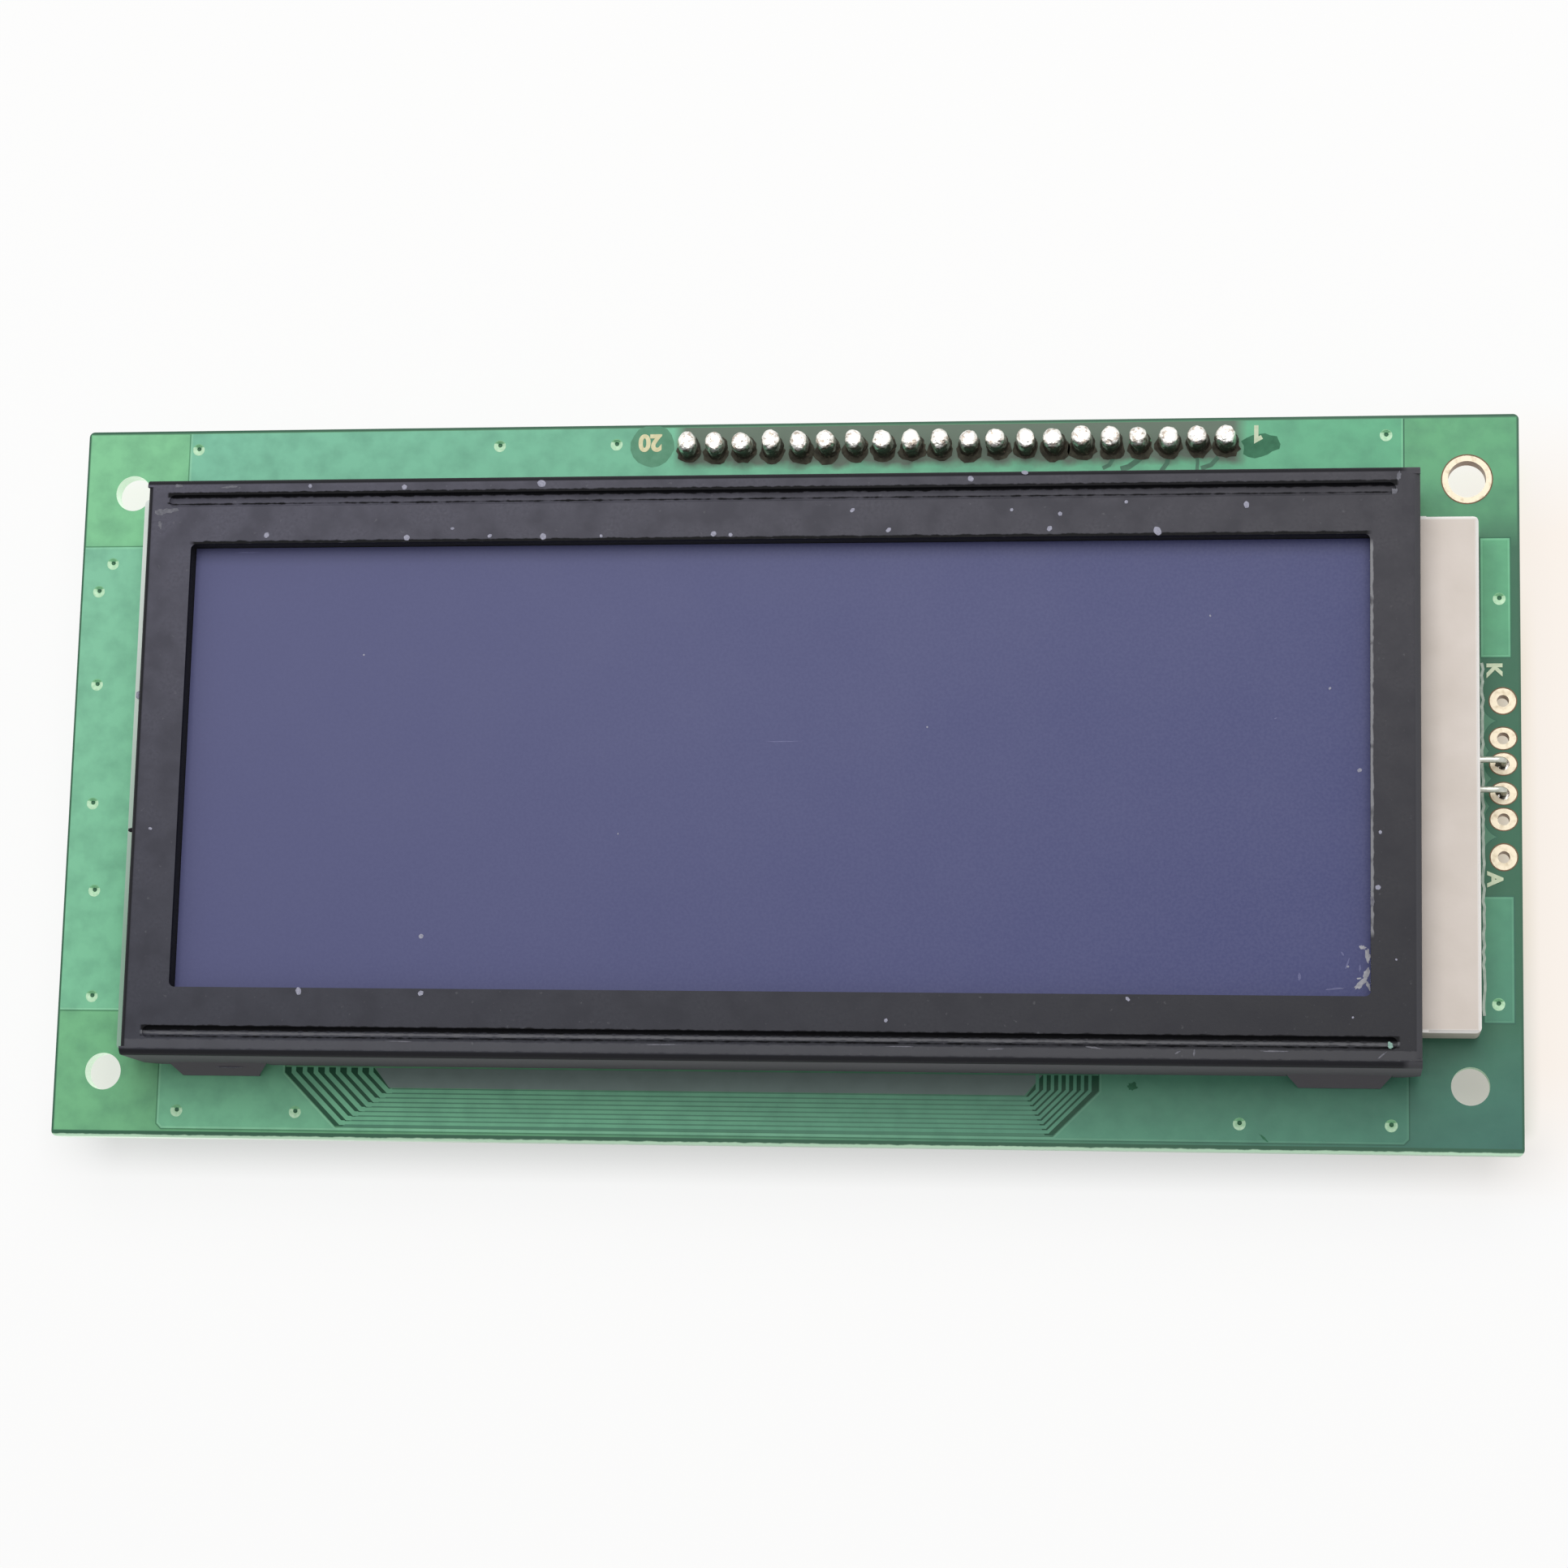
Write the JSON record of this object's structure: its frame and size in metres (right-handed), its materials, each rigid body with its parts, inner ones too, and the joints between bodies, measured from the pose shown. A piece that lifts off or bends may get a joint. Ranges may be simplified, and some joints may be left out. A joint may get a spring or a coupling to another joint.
{
  "type": "graphic lcd module",
  "caption": "Monochrome graphic LCD module: blue glass cell under a folded black steel bezel on a green board, with an end-lit backlight, solder pads and a rear pin header.",
  "frame": {"origin": "centre of the four corner holes, on the board's front face", "axes": "+X along the board towards the backlight's tail, +Y towards the pin header, +Z out of the display's face"},
  "size_m": [0.13, 0.065, 0.0191],
  "materials": {
    "solder_mask": "green solder mask over copper on glass-fibre laminate",
    "gold_plating": "pale gold plating",
    "via_plating": "plated copper under green solder mask",
    "black_steel": "thin matte black on steel sheet, dusty, with a few pale scuffs",
    "black_foam": "dense black foam",
    "polariser": "blue-violet polariser film with a soft sheen",
    "cell_glass": "clear sheet glass",
    "elastomer": "layered conductive silicone",
    "white_housing": "moulded white plastic, slightly warm",
    "white_film": "white film",
    "clear_acrylic": "clear acrylic plate",
    "white_laminate": "white-coated strip board",
    "led_resin": "white moulding with yellow phosphor window",
    "tinned_wire": "tinned copper wire",
    "solder": "bright solder with flux at its foot",
    "header_plastic": "black moulded plastic",
    "pin_plating": "gold flash on brass",
    "chip_resin": "black bonding resin with a satin skin",
    "package_plastic": "black moulded package with tinned legs",
    "resistor_ceramic": "black glaze with tinned ends",
    "capacitor_ceramic": "tan ceramic with tinned ends"
  },
  "bodies": {
    "root": {"pcb": "solder_mask", "mount_ring": "gold_plating", "backlight_pads": "gold_plating", "vias": "via_plating", "bezel": "black_steel", "bezel_gasket": "black_foam", "front_polariser": "polariser", "front_glass": "cell_glass", "rear_glass": "cell_glass", "rear_polariser": "polariser", "upper_zebra_strip": "elastomer", "lower_zebra_strip": "elastomer", "backlight_housing": "white_housing", "diffuser_film": "white_film", "light_guide": "clear_acrylic", "reflector_film": "white_film", "led_board": "white_laminate", "leds": "led_resin", "anode_lead": "tinned_wire", "cathode_lead": "tinned_wire", "lead_solder": "solder", "header_body": "header_plastic", "header_pins": "pin_plating", "header_solder": "solder", "row_driver": "chip_resin", "column_driver_left": "chip_resin", "column_driver_middle": "chip_resin", "column_driver_right": "chip_resin", "bias_amplifier": "package_plastic", "voltage_converter": "package_plastic", "chip_resistors": "resistor_ceramic", "chip_capacitors": "capacitor_ceramic"}
  },
  "joints": []
}
